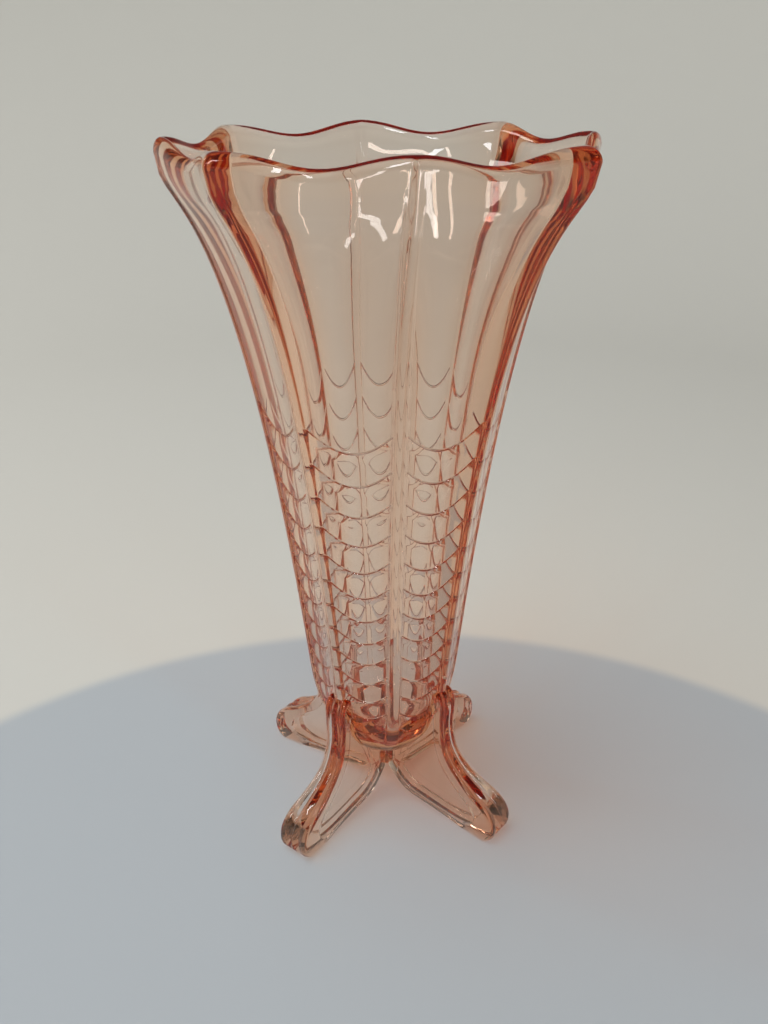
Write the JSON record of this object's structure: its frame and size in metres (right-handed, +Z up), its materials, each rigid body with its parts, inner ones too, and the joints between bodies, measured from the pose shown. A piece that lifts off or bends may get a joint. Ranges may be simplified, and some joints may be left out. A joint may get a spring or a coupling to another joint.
{
  "type": "footed glass vase",
  "caption": "Eight-sided pressed-glass trumpet vase with a scalloped rim and draped surface steps, standing on radial fin feet.",
  "frame": {"origin": "centre of the trumpet's axis on the surface that the feet stand on", "axes": "+Z up along the trumpet's axis; -Y towards the front, midway between the two front feet"},
  "size_m": [0.112, 0.112, 0.2],
  "materials": {
    "pink_glass": "clear salmon-pink pressed glass, fire-polished and glossy"
  },
  "bodies": {
    "root": {"vase_body": "pink_glass", "foot_front_left": "pink_glass", "foot_front_right": "pink_glass", "foot_back_right": "pink_glass", "foot_back_left": "pink_glass"}
  },
  "joints": []
}
